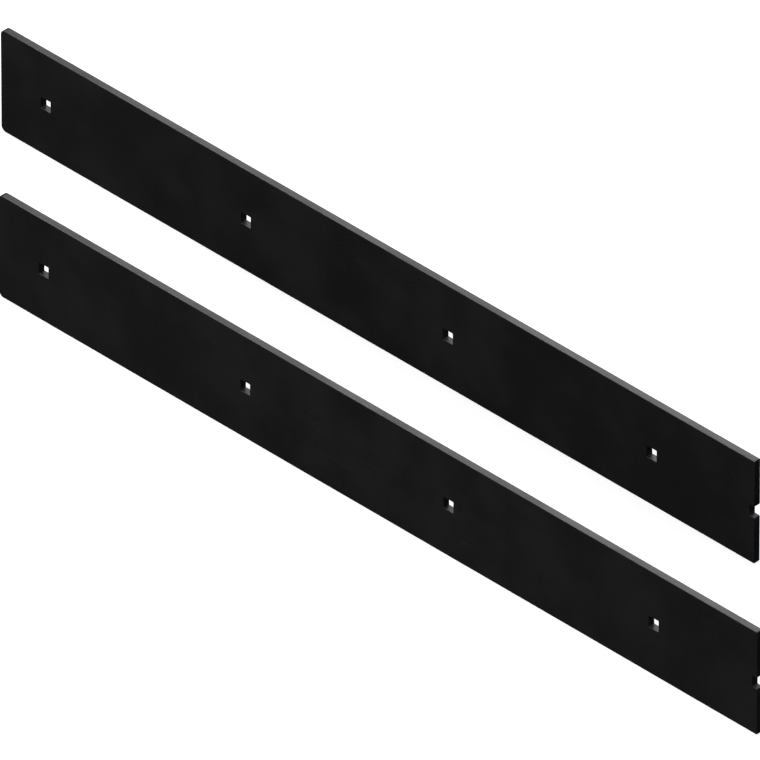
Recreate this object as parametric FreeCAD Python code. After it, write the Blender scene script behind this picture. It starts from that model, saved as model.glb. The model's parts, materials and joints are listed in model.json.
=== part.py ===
import FreeCAD, Part
import os
from FreeCAD import Vector

# Two-piece wear bar set for the bottom edge of a 54 in ATV plow blade, in millimetres.
# +X runs along both bars, from the outer end to the inner end. +Y is the back, the side that is
# bolted against the blade. +Z is up, across the bars' height. The two bars are loose and stand
# on their long edges, so the origin is at floor level, in the middle of the pair.

# One bar, measured over its paint
bar_length = 685.8  # half of the 54 in blade
bar_height = 80.0
bar_thickness = 5.2
outer_corner_radius = 4.0  # the two corners of the outer end; the inner end's are square
edge_break = 0.4  # radius left along the edges of both faces

# Square holes for 5/16 in carriage bolts, on the middle line of the bar's height
hole_count = 4
hole_side = 8.8
hole_corner_radius = 0.4
outer_hole_inset = 41.3  # outer end to the centre of the first hole

# The rear bar stands behind the front one, and this far back towards the outer end as well
bar_step_x = 132.0
bar_step_y = 132.0

# The joint between the two halves is midway between two holes, so the last hole is half a pitch
# from the inner end. Another square hole, cut in half by that end, leaves the end notch.
hole_pitch = (bar_length - outer_hole_inset) / (hole_count - 0.5)
hole_line_height = bar_height / 2
punch_overrun = 1.0  # how far a punch reaches past each face

parts_folder = "parts"
same = 1e-6  # two coordinates closer than this are the same


def edges_along_y(solid):
    """The edges that cross the bar's thickness."""
    return [e for e in solid.Edges if e.BoundBox.XLength < same and e.BoundBox.ZLength < same]


def edges_in_faces(solid):
    """The edges that lie in the front or the back face: the outline and the rims of the holes."""
    return [e for e in solid.Edges if e.BoundBox.YLength < same]


def square_punch(centre_x):
    """A square prism through the bar on the hole line, with its four corners slightly rounded."""
    corner = Vector(centre_x - hole_side / 2, -punch_overrun, hole_line_height - hole_side / 2)
    prism = Part.makeBox(hole_side, bar_thickness + 2 * punch_overrun, hole_side, corner)
    return prism.makeFillet(hole_corner_radius, edges_along_y(prism))


def bar_blank():
    """The bar before it is punched: a flat plate with its two outer corners rounded."""
    plate = Part.makeBox(bar_length, bar_thickness, bar_height)
    outer_corners = [e for e in edges_along_y(plate) if e.BoundBox.XMax < same]
    return plate.makeFillet(outer_corner_radius, outer_corners)


def wear_bar():
    """One finished bar, with its outer end at X = 0, its front face at Y = 0 and its foot at Z = 0."""
    hole_centres = [outer_hole_inset + i * hole_pitch for i in range(hole_count)]
    end_notch_centre = bar_length
    punches = [square_punch(x) for x in hole_centres + [end_notch_centre]]
    punched = bar_blank().cut(punches)
    return punched.makeFillet(edge_break, edges_in_faces(punched))


def stand(bar, side):
    """The bar on the floor: side -1 is the rear place and side +1 the front place."""
    middle_x, middle_y = side * bar_step_x / 2, -side * bar_step_y / 2
    return bar.translated(Vector(middle_x - bar_length / 2, middle_y - bar_thickness / 2, 0))


os.makedirs(parts_folder, exist_ok=True)
for name, side in (("rear_wear_bar", -1), ("front_wear_bar", 1)):
    solid = stand(wear_bar(), side).Solids[0]
    solid.exportStep(os.path.join(parts_folder, name + ".step"))
    print(f"{name}: valid {solid.isValid()}, volume {solid.Volume:.0f} mm3, {solid.optimalBoundingBox()}")
print(f"hole pitch {hole_pitch:.3f}")
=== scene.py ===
import json
import math

import bmesh
import bpy
import numpy as np
from bpy.props import FloatProperty, FloatVectorProperty, IntProperty, PointerProperty
from bpy.types import Operator, Panel, PropertyGroup
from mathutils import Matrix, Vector


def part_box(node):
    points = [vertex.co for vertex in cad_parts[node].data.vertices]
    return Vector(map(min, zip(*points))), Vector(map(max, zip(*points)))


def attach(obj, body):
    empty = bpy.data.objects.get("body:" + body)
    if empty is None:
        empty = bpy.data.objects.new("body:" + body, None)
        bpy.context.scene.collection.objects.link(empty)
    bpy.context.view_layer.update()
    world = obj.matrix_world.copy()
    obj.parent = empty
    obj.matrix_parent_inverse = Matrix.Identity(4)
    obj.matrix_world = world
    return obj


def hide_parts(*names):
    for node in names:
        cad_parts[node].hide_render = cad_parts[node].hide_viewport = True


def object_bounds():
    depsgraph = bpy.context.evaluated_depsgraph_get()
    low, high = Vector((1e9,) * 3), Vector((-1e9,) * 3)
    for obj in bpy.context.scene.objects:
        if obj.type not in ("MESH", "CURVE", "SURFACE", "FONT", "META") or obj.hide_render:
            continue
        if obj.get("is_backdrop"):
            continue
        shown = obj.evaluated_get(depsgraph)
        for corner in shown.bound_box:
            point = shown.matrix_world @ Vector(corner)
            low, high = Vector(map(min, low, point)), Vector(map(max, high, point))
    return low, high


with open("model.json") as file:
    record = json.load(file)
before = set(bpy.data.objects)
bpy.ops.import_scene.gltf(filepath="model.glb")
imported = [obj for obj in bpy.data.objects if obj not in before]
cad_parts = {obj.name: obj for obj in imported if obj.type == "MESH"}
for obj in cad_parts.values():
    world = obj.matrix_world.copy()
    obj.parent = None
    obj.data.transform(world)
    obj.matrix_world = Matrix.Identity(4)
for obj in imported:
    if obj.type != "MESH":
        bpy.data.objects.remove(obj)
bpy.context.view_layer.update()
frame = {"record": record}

bl_info = {
    "name": "Plow Wear Bars",
    "version": (1, 0, 0),
    "blender": (4, 5, 0),
    "location": "3D View > Sidebar > Wear Bars",
    "description": "Painted flat steel wear bars for an ATV plow blade, on a pale studio floor",
    "category": "Object",
}

BARS = ("rear_wear_bar", "front_wear_bar")
BODY = "root"
MM = 0.001
WELD = 1e-7  # two points nearer than this, in metres, are one

# Mesh cells round the outline and the holes
OUTER_CORNER_CELLS = 4  # in each half of a corner at the outer end
INNER_CORNER_CELLS = 2  # in each half of a corner at the inner end
NOTCH_CORNER_CELLS = 2
NOTCH_WALL_CELLS = 1
HOLE_CORNER_CELLS = 3  # in each half of a square hole's corner
FACE_ROWS = 6  # rows of cells from the mesh grid out to a rim
CROWDING = 2.5  # how strongly those rows crowd towards the rim
EDGE_ROWS = 7  # points round each rounded edge
WALL_STOPS = (0.04, 0.15, 0.3, 0.42, 0.5, 0.58, 0.66, 0.76, 0.86, 0.96)  # shares of the wall's depth

# Shape of a cut wall and a rolled one
ROLLOVER_REACH = 0.6  # rollover across the face, as a share of its depth
BREAK_LINE = 0.55  # share of the thickness down to which a cut wall is smooth
BREAK_WOBBLE = 0.08
WOBBLE_TURNS = (3, 7, 12, 19)  # waves of the break line once round a cut
ROLLED_BOW = 0.04 * MM  # how far a rolled edge bows out at its middle
WAVE_LENGTHS = (310, 190, 118, 71, 46)  # of the faces' waves along the bar, in mm
WAVE_WIDTHS = (400, 160, 90, 130, 60)  # and across it


# The paint
MOTTLE = 1.18  # how much lighter its paler patches are
RUB_STRENGTH = 0.55
SHEEN_SPREAD = 0.05  # roughness either side of the middle, from patch to patch
GRAIN_SHEEN = 0.12  # roughness added by the grain
WORN_SHEEN = 0.10  # roughness added where the paint is thin
ROLLING_HEIGHT = 0.03 * MM
SHEAR_HEIGHT = 0.06 * MM

# The studio: (azimuth, elevation) in degrees from the pair, distance and size in metres
FLOOR_MOTTLE = 0.985
BACK_BOX = (212, 40, 2.2, 1.5)
FRONT_BOX = (-45, 40, 2.4, 1.4)
SIDE_BOX = (165, 16, 2.4, 1.0)
BLACK_CARD = (130, -48)  # the middle of what the bars mirror darkest
BRIGHT_SIDE = (-40, 25)  # the middle of the soft light
MIRROR_LOW, MIRROR_HIGH = 0.04, 0.5  # brightness mirrored from below and from overhead
SOFT_LOW, SOFT_HIGH = 0.35, 1.3  # the soft light's share on its dim and its bright side


# ---------------------------------------------------------------- sizes and colours a user would change


class BarShape(PropertyGroup):
    hole_side: FloatProperty(
        name="Square hole", description="Width of a square bolt hole across its flats",
        default=8.8 * MM, unit="LENGTH", precision=5)
    hole_corner: FloatProperty(
        name="Hole corner", description="Radius in the corners of a square hole",
        default=0.4 * MM, unit="LENGTH", precision=5)
    outer_corner: FloatProperty(
        name="Outer corner", description="Radius of the two corners at the outer end",
        default=4.0 * MM, unit="LENGTH", precision=5)
    inner_corner: FloatProperty(
        name="Inner corner", description="Small radius left by deburring the inner end's corners",
        default=0.6 * MM, unit="LENGTH", precision=5)
    rolled_edge: FloatProperty(
        name="Rolled edge", description="Radius along the long edges of the rolled bar",
        default=0.5 * MM, unit="LENGTH", precision=5)
    rollover: FloatProperty(
        name="Rollover", description="How far the front face is drawn down at a punched or sheared edge",
        default=0.15 * MM, unit="LENGTH", precision=5)
    breakout: FloatProperty(
        name="Breakout", description="How much wider a cut is at the back, where the steel broke away",
        default=0.03 * MM, unit="LENGTH", precision=5)
    burr_edge: FloatProperty(
        name="Back edge", description="Radius left at the back of a cut after deburring",
        default=0.08 * MM, unit="LENGTH", precision=5)
    waviness: FloatProperty(
        name="Waviness", description="Height of the rolled faces' long shallow waves",
        default=0.06 * MM, unit="LENGTH", precision=6)
    border: FloatProperty(
        name="Border", description="Width of the mesh border along the outline, deeper than the end notch",
        default=8.0 * MM, unit="LENGTH", precision=5)
    patch: FloatProperty(
        name="Hole patch", description="Half the width of the square mesh patch round a hole",
        default=16.0 * MM, unit="LENGTH", precision=5)
    patch_cells: IntProperty(
        name="Patch cells", description="Mesh cells along one side of a hole patch",
        default=12, min=12, max=24)


class BarPaint(PropertyGroup):
    colour: FloatVectorProperty(
        name="Paint", description="Colour of the black paint", subtype="COLOR", size=3,
        default=(0.0022, 0.0022, 0.0022), min=0.0, max=1.0)
    thin_colour: FloatVectorProperty(
        name="Thin paint", description="Colour where the paint is thin along an edge", subtype="COLOR",
        size=3, default=(0.011, 0.011, 0.011), min=0.0, max=1.0)
    roughness: FloatProperty(
        name="Roughness", description="Middle roughness of the paint", default=0.44, min=0.05, max=1.0,
        subtype="FACTOR")
    peel_size: FloatProperty(
        name="Peel size", description="Width of the paint's orange peel dimples",
        default=1.6 * MM, unit="LENGTH", precision=5)
    peel_height: FloatProperty(
        name="Peel height", description="Height of the paint's orange peel",
        default=0.07 * MM, unit="LENGTH", precision=6)
    grain_size: FloatProperty(
        name="Grain size", description="Width of the paint's fine grain",
        default=0.4 * MM, unit="LENGTH", precision=6)
    grain_height: FloatProperty(
        name="Grain height", description="Height of the paint's fine grain",
        default=0.04 * MM, unit="LENGTH", precision=6)


class Studio(PropertyGroup):
    azimuth: FloatProperty(
        name="Azimuth", description="Direction of the camera round the bars",
        default=math.radians(44.975), subtype="ANGLE")
    elevation: FloatProperty(
        name="Elevation", description="Height of the camera above the horizon",
        default=math.radians(35.296), subtype="ANGLE")
    lens: FloatProperty(
        name="Lens", description="Focal length in millimetres, long so that parallel edges stay parallel",
        default=1700.0, min=50.0, soft_max=2000.0)
    view_width: FloatProperty(
        name="View width", description="Width of the view at the middle of the pair",
        default=0.4879, unit="LENGTH", precision=4)
    aim_right: FloatProperty(
        name="Aim right", description="How far right of the pair's middle the camera looks",
        default=1.7 * MM, unit="LENGTH", precision=5)
    aim_up: FloatProperty(
        name="Aim up", description="How far above the pair's middle the camera looks",
        default=-2.3 * MM, unit="LENGTH", precision=5)
    floor_colour: FloatVectorProperty(
        name="Floor", description="Colour of the pale studio floor", subtype="COLOR", size=3,
        default=(0.9, 0.9, 0.9), min=0.0, max=1.0)
    floor_size: FloatProperty(
        name="Floor size", description="Side of the square floor", default=120.0, unit="LENGTH")
    floor_glow: FloatProperty(
        name="Floor glow", description="Light given off by the floor itself, as a light table's",
        default=0.45, min=0.0)
    ambient: FloatProperty(
        name="Ambient", description="Brightness of the soft light from all round", default=1.0, min=0.0)
    back_light: FloatProperty(
        name="Back light", description="Power of the softbox behind and left of the bars, in watts",
        default=22.5, min=0.0)
    front_light: FloatProperty(
        name="Front light", description="Power of the softbox in front and left of the bars, in watts",
        default=76.0, min=0.0)
    side_light: FloatProperty(
        name="Side light", description="Power of the low softbox behind and right of the bars, in watts",
        default=14.0, min=0.0)


# ---------------------------------------------------------------- outlines


def left_of(heading):
    """The unit vector to the left of a heading in radians: (-sin h, cos h)."""
    return np.stack([-np.sin(heading), np.cos(heading)], axis=-1)


def outline(start, heading, steps):
    """A closed outline as points, and at each point the unit vector to its left, where the steel is.

    Each step is (size, turn, cells). With no turn it is a straight run of that size: P = start + t size
    (cos h, sin h). With a turn it is an arc of radius size, to the left when turn is positive:
    P = C - r n(h + t turn), with C = start + r n(h), n(h) = (-sin h, cos h) and r negative to the right.
    """
    at, points, sides = np.array(start, float), [], []
    for size, turn, cells in steps:
        t = np.arange(cells + 1)[:, None] / cells
        if turn:
            radius, angles = math.copysign(size, turn), heading + t[:, 0] * turn
            run = at + radius * left_of(heading) - radius * left_of(angles)
            side = left_of(angles)
            heading += turn
        else:
            run = at + t * size * np.array([math.cos(heading), math.sin(heading)])
            side = np.tile(left_of(heading), (cells + 1, 1))
        points.append(run[:-1])
        sides.append(side[:-1])
        at = run[-1]
    return np.concatenate(points), np.concatenate(sides)


def rectangle(xs, zs, clockwise=False):
    """The points of a grid's boundary from its lowest corner, once round: along xs first, or zs first."""
    if clockwise:
        return rectangle(zs, xs)[:, ::-1]
    sides = (
        np.stack([xs[:-1], np.full(len(xs) - 1, zs[0])], 1),
        np.stack([np.full(len(zs) - 1, xs[-1]), zs[:-1]], 1),
        np.stack([xs[:0:-1], np.full(len(xs) - 1, zs[-1])], 1),
        np.stack([np.full(len(zs) - 1, xs[0]), zs[:0:-1]], 1),
    )
    return np.concatenate(sides)


# ---------------------------------------------------------------- one bar as surfaces


class Bar:
    """The sizes of one bar, read from its CAD box and its bolt line, and its mesh lines along X and Z."""

    def __init__(self, node, shape):
        low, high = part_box(node)
        self.origin = np.array(low)
        self.length, self.thickness, self.height = high - low
        self.middle = self.height / 2
        self.half_hole = shape.hole_side / 2
        mount = node.replace("wear_bar", "bolt_line")
        line = next(m for m in frame["record"]["mounts"] if m["name"] == mount)
        pitch, count = line["dims"]["spacing_x_mm"] * MM, line["dims"]["count"]
        first = line["pos_m"][0] - low.x - pitch * (count - 1) / 2
        self.holes = first + pitch * np.arange(count)
        self.cell = 2 * shape.patch / shape.patch_cells
        self.shape = shape
        stops = np.concatenate([[shape.border], self.holes - shape.patch, self.holes + shape.patch,
                                [self.length - shape.border]])
        self.xs = self.mesh_lines(np.sort(stops))
        self.zs = self.mesh_lines(self.middle + np.array([-1, -1, 1, 1]) * [
            self.middle - shape.border, shape.patch, shape.patch, self.middle - shape.border])
        self.rng = np.random.default_rng(sum(map(ord, node)))

    def mesh_lines(self, stops):
        """Evenly spaced lines from stop to stop, about one cell apart, that include every stop."""
        runs = [np.linspace(a, b, self.cells(b - a) + 1)[:-1] for a, b in zip(stops[:-1], stops[1:])]
        return np.concatenate(runs + [stops[-1:]])

    def cells(self, length):
        return max(1, round(length / self.cell))


def bar_outline(bar):
    """The bar's outline from the middle of its lower outer corner, with the steel on its left.

    It runs along the bottom, up the inner end round the half hole, back along the top and down the
    outer end. Its cells are those of the mesh border's inner rectangle, one for one.
    """
    shape, eighth, quarter = bar.shape, math.pi / 4, math.pi / 2
    big, small, inside = shape.outer_corner, shape.inner_corner, shape.hole_corner
    nx, nz = len(bar.xs) - 1, len(bar.zs) - 1
    band = shape.patch_cells
    beside = (nz - band) // 2
    round_big, round_small = OUTER_CORNER_CELLS, INNER_CORNER_CELLS
    long_run = (bar.length - big - small, 0, nx - round_big - round_small)
    end_run = (bar.middle - bar.half_hole - 2 * small, 0, beside - round_small)
    mouth = (small, quarter, NOTCH_CORNER_CELLS)
    side_wall = (bar.half_hole - small - inside, 0, NOTCH_WALL_CELLS)
    corner = (inside, -quarter, NOTCH_CORNER_CELLS)
    used = 4 * NOTCH_CORNER_CELLS + 2 * NOTCH_WALL_CELLS
    back_wall = (2 * (bar.half_hole - inside), 0, band - used)
    notch = [mouth, side_wall, corner, back_wall, corner, side_wall, mouth]
    half_big, half_small = (big, eighth, round_big), (small, eighth, round_small)
    outer_run = (bar.height - 2 * big, 0, nz - 2 * round_big)
    steps = [half_big, long_run, half_small, half_small, end_run, *notch, end_run, half_small,
             half_small, long_run, half_big, half_big, outer_run, half_big]
    start = big * (1 - math.cos(eighth))
    return outline((start, start), -eighth, steps)


def hole_outline(bar, centre):
    """A square hole from the middle of its lower left corner, clockwise, with the steel on its left."""
    shape, eighth = bar.shape, math.pi / 4
    inside, band = shape.hole_corner, shape.patch_cells
    half_corner = (inside, -eighth, HOLE_CORNER_CELLS)
    wall = (2 * (bar.half_hole - inside), 0, band - 2 * HOLE_CORNER_CELLS)
    start = inside * (1 - math.cos(eighth)) - bar.half_hole
    return outline((centre + start, bar.middle + start), math.pi / 2 + eighth,
                   [half_corner, wall, half_corner] * 4)


def cut_share(bar, points, sides):
    """1 where the outline was sheared or punched, 0 along the rolled long edges, blended at corners."""
    in_notch = (np.abs(points[:, 1] - bar.middle) < bar.half_hole + bar.shape.inner_corner) & (
        points[:, 0] > bar.length - bar.shape.border)
    return np.where(in_notch, 1.0, np.abs(sides[:, 0]) ** 2)


def edge_rows(bar, cut):
    """The edge's profile at each outline point: rows of (depth into the steel, distance from the front).

    At the front a quarter ellipse a (1 - sin q), b (1 - cos q) leads from the face to the wall, and at
    the back another leads to the back face. Between them a cut wall is smooth down to its break line
    and then widens as breakout s^2, with s from 0 there to 1 at the back; a rolled wall bows out by a
    little at its middle. cut, from 0 to 1, mixes the rolled profile with the cut one.
    """
    shape, thick = bar.shape, bar.thickness
    quarter = np.linspace(0, math.pi / 2, EDGE_ROWS)[:, None]

    def mix(rolled, sheared):
        return rolled * (1 - cut) + sheared * cut

    def widen(y):
        return shape.breakout * np.clip((y / thick - break_line) / (1 - break_line), 0, 1) ** 2

    front_reach = mix(shape.rolled_edge, ROLLOVER_REACH * shape.rollover)
    front_depth = mix(shape.rolled_edge, shape.rollover)
    back_edge = mix(shape.rolled_edge, shape.burr_edge)
    turns = np.linspace(0, 2 * math.pi, len(cut), endpoint=False)
    phases = bar.rng.uniform(0, 2 * math.pi, len(WOBBLE_TURNS))
    waves = [np.sin(k * turns + phase) for k, phase in zip(WOBBLE_TURNS, phases)]
    break_line = BREAK_LINE + BREAK_WOBBLE * sum(waves) / len(waves)
    share = np.array(WALL_STOPS)[:, None]
    wall_y = front_depth + share * (thick - front_depth - back_edge)
    bow = ROLLED_BOW * (2 * wall_y / thick - 1) ** 2
    back_start = mix(ROLLED_BOW, widen(thick - back_edge))
    depth = [front_reach * (1 - np.sin(quarter)), mix(bow, widen(wall_y)),
             back_start + back_edge * (1 - np.cos(quarter))]
    along = [front_depth * (1 - np.cos(quarter)), wall_y, thick - back_edge * (1 - np.sin(quarter))]
    worn = np.concatenate([np.sin(2 * quarter), 0 * share, np.sin(2 * quarter)]) + 0 * cut
    return np.concatenate(depth), np.concatenate(along), worn


def sleeve(bar, rim, sides, anchor, cut):
    """A closed band: from the anchor loop on the front face out to the rim, over the edge to the back
    face, and home to the anchor loop there. Rows w of the face part are anchor + w (rim - anchor), with
    w = 1 - (1 - t)^CROWDING, so that they crowd towards the rim. Returns points, worn share and cut share."""
    depth, along, worn = edge_rows(bar, cut)
    edge = rim + depth[..., None] * sides
    t = np.linspace(0, 1, FACE_ROWS + 1)[:-1, None, None]
    w = 1 - (1 - t) ** CROWDING
    front = anchor + w * (edge[0] - anchor)
    back = (anchor + w * (edge[-1] - anchor))[::-1]
    flat = np.concatenate([front, edge, back])
    y = np.concatenate([np.zeros(front.shape[:2]), along, np.full(back.shape[:2], bar.thickness)])
    none = np.zeros(front.shape[:2])
    points = np.stack([flat[..., 0], y, flat[..., 1]], axis=-1)
    return points, np.concatenate([none, worn, none]), np.concatenate([none, 0 * worn + cut, none])


def band_faces(rows, columns, first):
    """Quads of a grid whose rows close on themselves: i, i + 1 (the last with the first), next row."""
    at = first + np.arange(rows * columns).reshape(rows, columns)
    beside = np.roll(at, -1, axis=1)
    return np.stack([at[:-1], beside[:-1], beside[1:], at[1:]], axis=-1).reshape(-1, 4)


def face_grid(bar, y):
    """The flat face at y as a grid on the mesh lines, with its patches round the holes left open."""
    x, z = np.meshgrid(bar.xs, bar.zs, indexing="ij")
    at = np.arange(x.size).reshape(x.shape)
    quads = np.stack([at[:-1, :-1], at[1:, :-1], at[1:, 1:], at[:-1, 1:]], axis=-1)
    middle_x, middle_z = (bar.xs[:-1] + bar.xs[1:]) / 2, (bar.zs[:-1] + bar.zs[1:]) / 2
    by_hole = (np.abs(middle_x[:, None] - bar.holes) < bar.shape.patch).any(axis=1)
    in_band = np.abs(middle_z - bar.middle) < bar.shape.patch
    keep = ~(by_hole[:, None] & in_band)
    return np.stack([x, np.full_like(x, y), z], axis=-1).reshape(-1, 3), quads[keep]


def rolled_waves(bar, points):
    """How far both faces bend together at each point: long sines along and across the bar, added up."""
    x, z = points[:, 0], points[:, 2]
    total = np.zeros(len(points))
    phases = bar.rng.uniform(0, 6.28, len(WAVE_LENGTHS))
    for length, across, phase in zip(WAVE_LENGTHS, WAVE_WIDTHS, phases):
        total += np.sin(2 * math.pi * (x / (length * MM) + z / (across * MM)) + phase)
    return bar.shape.waviness * total / len(WAVE_LENGTHS)


def bar_surface(bar):
    """All of one bar's surfaces in its own frame: points, quads, worn share and cut share."""
    xs, zs, holes = bar.xs, bar.zs, bar.holes
    points, quads, worn, cut, count = [], [], [], [], 0

    def add(new_points, new_quads, new_worn, new_cut):
        nonlocal count
        points.append(new_points)
        quads.append(new_quads + count)
        worn.append(new_worn)
        cut.append(new_cut)
        count += len(new_points)

    rim, sides = bar_outline(bar)
    bands = [(rim, sides, rectangle(xs, zs), cut_share(bar, rim, sides))]
    span = np.linspace(-1, 1, bar.shape.patch_cells + 1) * bar.shape.patch
    for centre in holes:
        rim, sides = hole_outline(bar, centre)
        anchor = rectangle(centre + span, bar.middle + span, clockwise=True)
        bands.append((rim, sides, anchor, np.ones(len(rim))))
    for band in bands:
        grid, band_worn, band_cut = sleeve(bar, *band)
        rows, columns = grid.shape[:2]
        add(grid.reshape(-1, 3), band_faces(rows, columns, 0), band_worn.ravel(), band_cut.ravel())
    for y in (0, bar.thickness):
        grid, cells = face_grid(bar, y)
        add(grid, cells, np.zeros(len(grid)), np.zeros(len(grid)))
    points = np.concatenate(points)
    points[:, 1] += rolled_waves(bar, points)
    return points, np.concatenate(quads), np.concatenate(worn), np.concatenate(cut)


def closed_mesh(name, points, quads, **shares):
    """A mesh of the surfaces with touching borders welded, loose points gone and faces turned outwards."""
    mesh = bpy.data.meshes.new(name)
    mesh.from_pydata(points.tolist(), [], quads.tolist())
    for share, values in shares.items():
        mesh.attributes.new(share, "FLOAT", "POINT").data.foreach_set("value", values.astype(np.float32))
    work = bmesh.new()
    work.from_mesh(mesh)
    bmesh.ops.remove_doubles(work, verts=work.verts, dist=WELD)
    bmesh.ops.delete(work, geom=[v for v in work.verts if not v.link_faces], context="VERTS")
    bmesh.ops.recalc_face_normals(work, faces=work.faces)
    open_edges = sum(not edge.is_manifold for edge in work.edges)
    work.to_mesh(mesh)
    work.free()
    if open_edges:
        raise RuntimeError(f"{name}: {open_edges} edges are open")
    mesh.shade_smooth()
    return mesh


# ---------------------------------------------------------------- finishes


class Nodes:
    """Adds nodes to a tree and links them, so that a finish reads as a list of steps."""

    def __init__(self, tree):
        self.tree = tree
        tree.nodes.clear()

    def add(self, kind, inputs=(), **settings):
        node = self.tree.nodes.new(kind)
        for name, value in settings.items():
            setattr(node, name, value)
        for socket, value in dict(inputs).items():
            if isinstance(value, bpy.types.NodeSocket):
                self.tree.links.new(value, node.inputs[socket])
            else:
                node.inputs[socket].default_value = value
        return node

    def noise(self, where, size, stretch=(1, 1, 1), detail=2.0, roughness=0.5):
        """Noise with features about size metres wide, drawn out by stretch along each axis."""
        scale = [1 / (size * s) for s in stretch]
        place = self.add("ShaderNodeMapping", {"Vector": where, "Scale": scale})
        return self.add("ShaderNodeTexNoise", {"Vector": place.outputs["Vector"], "Scale": 1.0,
                                               "Detail": detail, "Roughness": roughness}).outputs["Fac"]

    def ramp(self, value, low, high, to_low=0.0, to_high=1.0):
        """value from low..high to to_low..to_high, smooth and held at the ends."""
        return self.add("ShaderNodeMapRange", {"Value": value, "From Min": low, "From Max": high,
                                               "To Min": to_low, "To Max": to_high},
                        interpolation_type="SMOOTHSTEP").outputs["Result"]

    def sums(self, how, a, b):
        return self.add("ShaderNodeMath", {0: a, 1: b}, operation=how).outputs["Value"]

    def mix(self, share, a, b):
        node = self.add("ShaderNodeMix", data_type="RGBA")
        for socket, value in ((node.inputs[0], share), (node.inputs[6], a), (node.inputs[7], b)):
            if isinstance(value, bpy.types.NodeSocket):
                self.tree.links.new(value, socket)
            else:
                socket.default_value = value
        return node.outputs[2]

    def bump(self, height, distance, normal=None):
        """The normal bent by a height map in which 1 stands for distance metres, on top of another normal."""
        inputs = {"Height": height, "Strength": 1.0, "Distance": distance}
        if normal:
            inputs["Normal"] = normal
        return self.add("ShaderNodeBump", inputs).outputs["Normal"]

    def share(self, name):
        return self.add("ShaderNodeAttribute", attribute_name=name, attribute_type="GEOMETRY").outputs["Fac"]


def black_paint(paint):
    """Low-sheen black paint over rolled steel: orange peel, fine grain, faint rolling lines along the
    bar, upright shear lines on the cut edges, paint thinned along the edges and a few light rubs."""
    material = bpy.data.materials.new("black_bar_paint")
    material.use_nodes = True
    nodes = Nodes(material.node_tree)
    where = nodes.add("ShaderNodeTexCoord").outputs["Object"]
    worn, cut = nodes.share("worn"), nodes.share("cut")

    cloudy = nodes.noise(where, 45 * MM, detail=3.0)
    peel = nodes.noise(where, paint.peel_size, detail=1.0)
    grain = nodes.noise(where, paint.grain_size, detail=2.0)
    rolling = nodes.noise(where, 1.3 * MM, stretch=(60, 1, 1), detail=2.0)
    shear = nodes.noise(where, 0.45 * MM, stretch=(1, 18, 1), detail=2.0)
    patchy = nodes.noise(where, 5 * MM, detail=3.0)
    rubs = nodes.noise(where, 0.8 * MM, stretch=(34, 1, 1.6), detail=1.0)
    rub_places = nodes.noise(where, 60 * MM, detail=2.0)

    thin = nodes.sums("MULTIPLY", worn, nodes.ramp(patchy, 0.42, 0.62))
    rubbed = nodes.sums(
        "MULTIPLY", nodes.ramp(rubs, 0.70, 0.78), nodes.ramp(rub_places, 0.50, 0.66))
    light = nodes.sums("MAXIMUM", thin, nodes.sums("MULTIPLY", rubbed, RUB_STRENGTH))
    base = (*paint.colour, 1.0)
    paler = tuple(MOTTLE * c for c in paint.colour) + (1.0,)
    mottled = nodes.mix(nodes.ramp(cloudy, 0.35, 0.65), base, paler)
    colour = nodes.mix(light, mottled, (*paint.thin_colour, 1.0))

    smooth, rough = paint.roughness - SHEEN_SPREAD, paint.roughness + SHEEN_SPREAD
    sheen = nodes.ramp(cloudy, 0.3, 0.7, smooth, rough)
    uneven = nodes.sums("SUBTRACT", grain, 0.5)
    sheen = nodes.sums("ADD", sheen, nodes.sums("MULTIPLY", uneven, GRAIN_SHEEN))
    sheen = nodes.sums("ADD", sheen, nodes.sums("MULTIPLY", light, WORN_SHEEN))

    flat = nodes.sums("SUBTRACT", 1.0, cut)
    bump = nodes.bump(grain, paint.grain_height)
    bump = nodes.bump(nodes.sums("MULTIPLY", rolling, flat), ROLLING_HEIGHT, bump)
    bump = nodes.bump(nodes.sums("MULTIPLY", shear, cut), SHEAR_HEIGHT, bump)
    bump = nodes.bump(peel, paint.peel_height, bump)

    shader = nodes.add("ShaderNodeBsdfPrincipled", {"Base Color": colour, "Roughness": sheen,
                                                    "Normal": bump})
    nodes.add("ShaderNodeOutputMaterial", {"Surface": shader.outputs["BSDF"]})
    return material


def pale_floor(colour, glow):
    """A matt pale studio floor with a barely visible cloudiness, lit a little from below."""
    material = bpy.data.materials.new("pale_studio_floor")
    material.use_nodes = True
    nodes = Nodes(material.node_tree)
    where = nodes.add("ShaderNodeTexCoord").outputs["Object"]
    cloudy = nodes.noise(where, 0.3, detail=2.0)
    dimmer = tuple(FLOOR_MOTTLE * c for c in colour) + (1.0,)
    tone = nodes.mix(nodes.ramp(cloudy, 0.3, 0.7), (*colour, 1.0), dimmer)
    shader = nodes.add("ShaderNodeBsdfPrincipled", {"Base Color": tone, "Roughness": 0.9,
                                                    "Specular IOR Level": 0.1,
                                                    "Emission Color": (1.0, 1.0, 1.0, 1.0),
                                                    "Emission Strength": glow})
    nodes.add("ShaderNodeOutputMaterial", {"Surface": shader.outputs["BSDF"]})
    return material


# ---------------------------------------------------------------- stage


def unit_from(azimuth, elevation):
    """The direction from the pair to something at that azimuth and elevation, in radians."""
    flat = math.cos(elevation)
    return Vector((math.sin(azimuth) * flat, -math.cos(azimuth) * flat, math.sin(elevation)))


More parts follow.
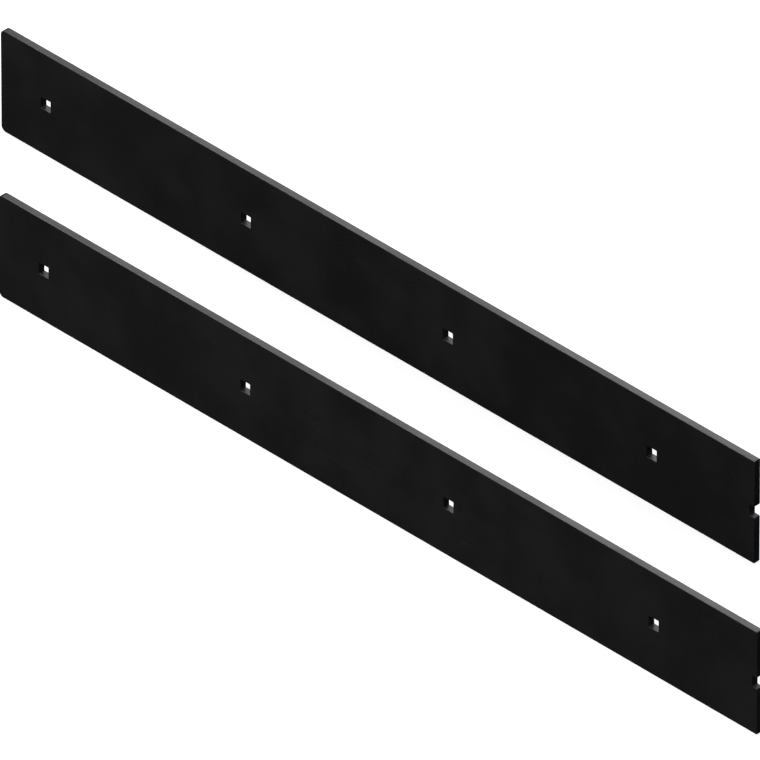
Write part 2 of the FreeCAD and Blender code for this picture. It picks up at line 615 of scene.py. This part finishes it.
def studio_camera(studio):
    """The long-lens camera, turned to the isometric direction and aimed near the pair's middle."""
    low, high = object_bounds()
    back = unit_from(studio.azimuth, studio.elevation)
    right = Vector((math.cos(studio.azimuth), math.sin(studio.azimuth), 0))
    aim = (low + high) / 2 + studio.aim_right * right + studio.aim_up * back.cross(right)
    camera = bpy.data.objects.new("studio_camera", bpy.data.cameras.new("studio_camera"))
    bpy.context.scene.collection.objects.link(camera)
    camera.data.lens = studio.lens
    distance = studio.view_width * studio.lens / camera.data.sensor_width
    camera.location = aim + distance * back
    camera.rotation_euler = (-back).to_track_quat("-Z", "Y").to_euler()
    camera.data.clip_end = 4 * distance
    bpy.context.scene.camera = camera


def softbox(name, azimuth, elevation, distance, size, watts):
    """A square light in that direction, in degrees, turned to the pair, that gives sheen only."""
    lamp = bpy.data.lights.new(name, "AREA")
    lamp.shape, lamp.size, lamp.energy = "SQUARE", size, watts
    light = bpy.data.objects.new(name, lamp)
    bpy.context.scene.collection.objects.link(light)
    away = unit_from(math.radians(azimuth), math.radians(elevation))
    light.location = away * distance
    light.rotation_euler = away.to_track_quat("Z", "Y").to_euler()
    light.visible_diffuse = False


def studio_world(ambient):
    """Soft light from all round, most of it from the front left. The bars mirror a dimmer room than the
    one that lights them, dark below and brighter overhead, as a studio's black cards make it, and the
    camera sees plain white."""
    world = bpy.data.worlds.new("studio_world")
    world.use_nodes = True
    nodes = Nodes(world.node_tree)
    ray = nodes.add("ShaderNodeLightPath").outputs
    direction = nodes.add("ShaderNodeTexCoord").outputs["Generated"]
    up = nodes.add("ShaderNodeSeparateXYZ", {0: direction}).outputs["Z"]
    overhead = nodes.ramp(up, 0.0, 0.9, MIRROR_LOW, MIRROR_HIGH)
    black_card = unit_from(*map(math.radians, BLACK_CARD))
    beside = nodes.add("ShaderNodeVectorMath", {0: direction, 1: black_card}, operation="DOT_PRODUCT")
    off_card = nodes.ramp(beside.outputs["Value"], 0.6, 0.92, 1.0, 0.05)
    room = nodes.sums("MULTIPLY", overhead, off_card)
    bright_side = unit_from(*map(math.radians, BRIGHT_SIDE))
    facing = nodes.add(
        "ShaderNodeVectorMath", {0: direction, 1: bright_side}, operation="DOT_PRODUCT")
    soft = nodes.ramp(facing.outputs["Value"], -0.7, 0.6, SOFT_LOW * ambient, SOFT_HIGH * ambient)
    lit = nodes.sums("ADD", nodes.sums("MULTIPLY", ray["Is Glossy Ray"], room), nodes.sums(
        "MULTIPLY", nodes.sums("SUBTRACT", 1.0, ray["Is Glossy Ray"]), soft))
    seen = nodes.sums("ADD", nodes.sums("MULTIPLY", ray["Is Camera Ray"], 1.0), nodes.sums(
        "MULTIPLY", nodes.sums("SUBTRACT", 1.0, ray["Is Camera Ray"]), lit))
    white = nodes.add("ShaderNodeBackground", {"Color": (1.0, 1.0, 1.0, 1.0), "Strength": seen})
    nodes.add("ShaderNodeOutputWorld", {"Surface": white.outputs["Background"]})
    bpy.context.scene.world = world


# ---------------------------------------------------------------- operators


class WEARBARS_OT_stage(Operator):
    """Set up the pale floor, the soft light and the camera"""

    bl_idname = "wearbars.stage"
    bl_label = "Stage"

    def execute(self, context):
        studio = context.scene.wear_bar_studio
        studio_camera(studio)
        studio_world(studio.ambient)
        softbox("back_softbox", *BACK_BOX, studio.back_light)
        softbox("front_softbox", *FRONT_BOX, studio.front_light)
        softbox("side_softbox", *SIDE_BOX, studio.side_light)
        half = studio.floor_size / 2
        mesh = bpy.data.meshes.new("floor")
        corners = [(-half, -half, 0), (half, -half, 0), (half, half, 0), (-half, half, 0)]
        mesh.from_pydata(corners, [], [(0, 1, 2, 3)])
        floor = bpy.data.objects.new("floor", mesh)
        context.scene.collection.objects.link(floor)
        mesh.materials.append(pale_floor(studio.floor_colour, studio.floor_glow))
        floor.visible_glossy = False
        floor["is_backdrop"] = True
        context.scene.view_settings.view_transform = "Standard"
        return {"FINISHED"}


class WEARBARS_OT_bars(Operator):
    """Make the two painted wear bars in the places of their CAD solids"""

    bl_idname = "wearbars.bars"
    bl_label = "Wear Bars"

    def execute(self, context):
        paint = black_paint(context.scene.wear_bar_paint)
        for node in BARS:
            bar = Bar(node, context.scene.wear_bar_shape)
            points, quads, worn, cut = bar_surface(bar)
            mesh = closed_mesh("painted_" + node, points + bar.origin, quads, worn=worn, cut=cut)
            piece = bpy.data.objects.new("painted_" + node, mesh)
            context.scene.collection.objects.link(piece)
            mesh.materials.append(paint)
            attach(piece, BODY)
            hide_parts(node)
        return {"FINISHED"}


class WEARBARS_PT_panel(Panel):
    bl_label = "Wear Bars"
    bl_idname = "WEARBARS_PT_panel"
    bl_space_type = "VIEW_3D"
    bl_region_type = "UI"
    bl_category = "Wear Bars"

    def draw(self, context):
        titles = (("Shape", "wear_bar_shape"), ("Paint", "wear_bar_paint"), ("Studio", "wear_bar_studio"))
        for title, group in titles:
            box = self.layout.box()
            box.label(text=title)
            settings = getattr(context.scene, group)
            for name in settings.__annotations__:
                box.prop(settings, name)
        for operator in (WEARBARS_OT_stage, WEARBARS_OT_bars):
            self.layout.operator(operator.bl_idname)


CLASSES = (BarShape, BarPaint, Studio, WEARBARS_OT_stage, WEARBARS_OT_bars, WEARBARS_PT_panel)
GROUPS = {"wear_bar_shape": BarShape, "wear_bar_paint": BarPaint, "wear_bar_studio": Studio}


def register():
    for cls in CLASSES:
        bpy.utils.register_class(cls)
    for name, group in GROUPS.items():
        setattr(bpy.types.Scene, name, PointerProperty(type=group))


def unregister():
    for name in GROUPS:
        delattr(bpy.types.Scene, name)
    for cls in reversed(CLASSES):
        bpy.utils.unregister_class(cls)


def main():
    register()
    bpy.ops.wearbars.stage()
    bpy.ops.wearbars.bars()


if __name__ == "__main__":
    main()
